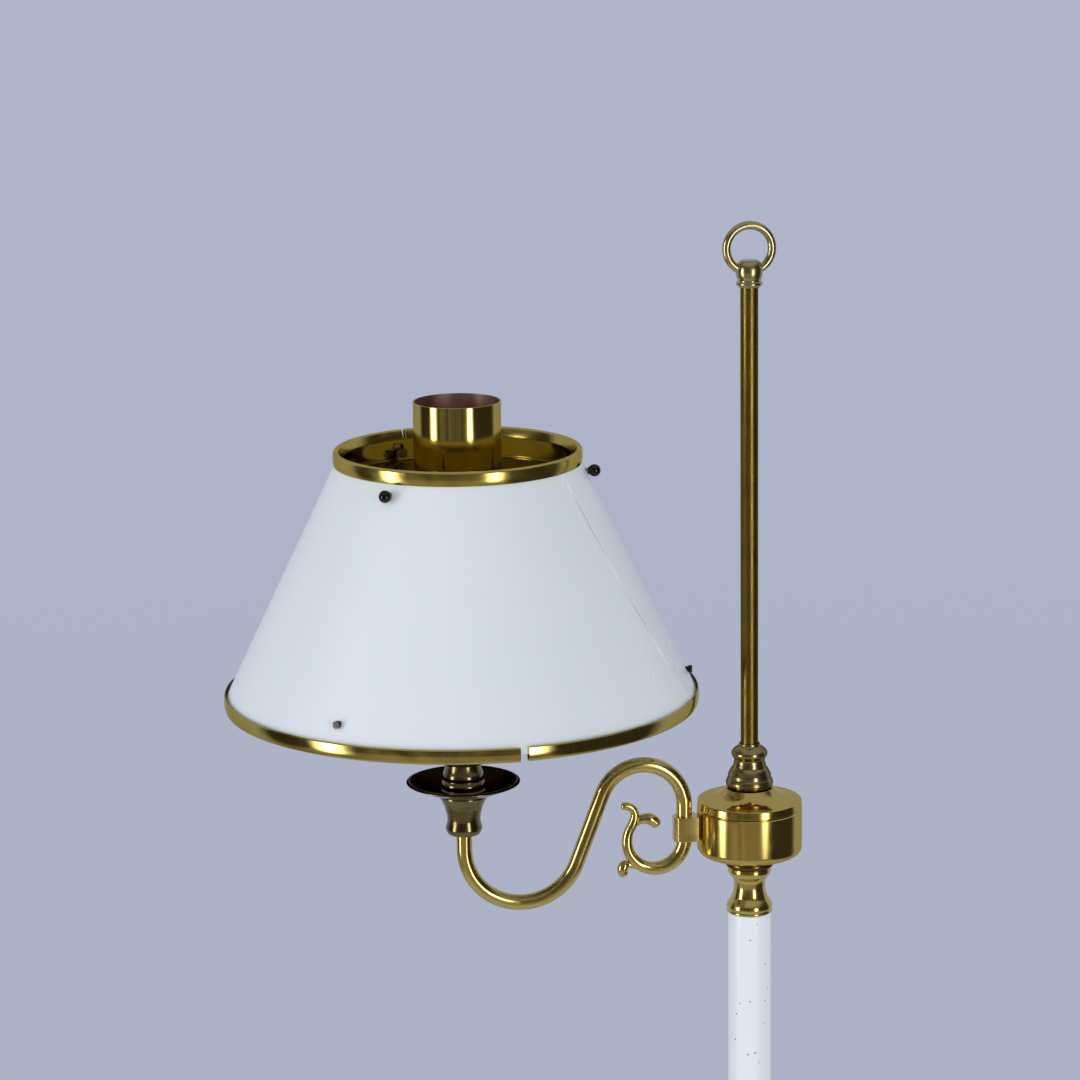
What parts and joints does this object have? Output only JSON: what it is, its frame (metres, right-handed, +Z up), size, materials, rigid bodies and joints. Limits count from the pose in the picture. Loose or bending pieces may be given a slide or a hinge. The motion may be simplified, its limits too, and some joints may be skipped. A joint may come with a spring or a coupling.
{
  "type": "floor lamp",
  "caption": "White floor lamp on a round base, with a brass hub that swings a curved arm, a white cone shade with brass rims and a carry ring on top.",
  "frame": {"origin": "on the pole's axis, at the floor face under the base", "axes": "+Z up along the pole; at rest the arm points along -X, and the switch bar lies along Y"},
  "size_m": [0.4363, 0.27, 1.4003],
  "materials": {
    "white_lacquer": "glossy white lacquer",
    "shade_white": "satin white enamel on sheet metal",
    "polished_brass": "polished and lacquered",
    "rim_brass": "polished, slightly aged",
    "rod_brass": "drawn tube, aged",
    "plate_brass": "mirror-polished, dark",
    "dark_brass": "dark olive patina",
    "black_bronze": "blackened",
    "bush_bronze": "machined",
    "contact_brass": "rolled sheet",
    "plated_steel": "zinc plated",
    "iron_weight": "as cast",
    "felt": "felt",
    "black_plastic": "moulded, satin",
    "switch_plastic": "moulded, glossy",
    "steatite": "unglazed ceramic",
    "cap_metal": "spun sheet",
    "opal_glass": "opal"
  },
  "bodies": {
    "stand": {"base_pad": "felt", "base_weight": "iron_weight", "base_cover": "white_lacquer", "base_collar": "polished_brass", "cord_gland": "black_plastic", "foot_nipple": "plated_steel", "foot_washer": "plated_steel", "foot_nut": "plated_steel", "foot_plug": "plated_steel", "pole": "white_lacquer", "top_plug": "plated_steel", "lower_bobbin": "polished_brass", "thrust_washer": "dark_brass", "pivot_tube": "plated_steel", "pivot_sleeve": "plated_steel", "stop_collar": "plated_steel", "collar_screw": "plated_steel", "upper_bobbin": "dark_brass", "upper_rod": "rod_brass", "finial": "rim_brass", "carry_ring": "rim_brass"},
    "arm": {"hub_body": "polished_brass", "hub_lid": "polished_brass", "lid_screw": "plated_steel", "lower_bush": "bush_bronze", "upper_bush": "bush_bronze", "stop_pin": "plated_steel", "arm_clip": "polished_brass", "clip_nipple": "plated_steel", "clip_nut": "plated_steel", "arm_tube": "polished_brass", "arm_scroll": "polished_brass", "lower_cup": "dark_brass", "drip_pan": "dark_brass", "holder_stem": "dark_brass", "holder_nipple": "plated_steel", "holder_cap": "black_plastic", "holder_skirt": "black_plastic", "contact_block": "steatite", "centre_contact": "contact_brass", "screw_shell": "contact_brass", "shade_nuts": "black_plastic", "shade_spider": "bush_bronze", "shade_cone": "shade_white", "lower_rim": "rim_brass", "upper_rim": "rim_brass", "top_plate": "plate_brass", "chimney": "rim_brass", "ball_nuts": "black_bronze", "ball_studs": "plated_steel", "stud_nuts": "plated_steel", "rim_screws": "dark_brass", "rim_nuts": "plated_steel", "bulb_cap": "cap_metal", "bulb_glass": "opal_glass"},
    "switch": {"switch_bar": "switch_plastic"}
  },
  "joints": [
    {"name": "arm_swing", "type": "hinge", "parent": "stand", "child": "arm", "pos_m": [0, 0, 1.05], "axis": [0, 0, 1], "range_deg": [-162, 162]},
    {"name": "switch_push", "type": "slide", "parent": "arm", "child": "switch", "axis": [0, 1, 0], "range_m": [0, 0.008]}
  ]
}
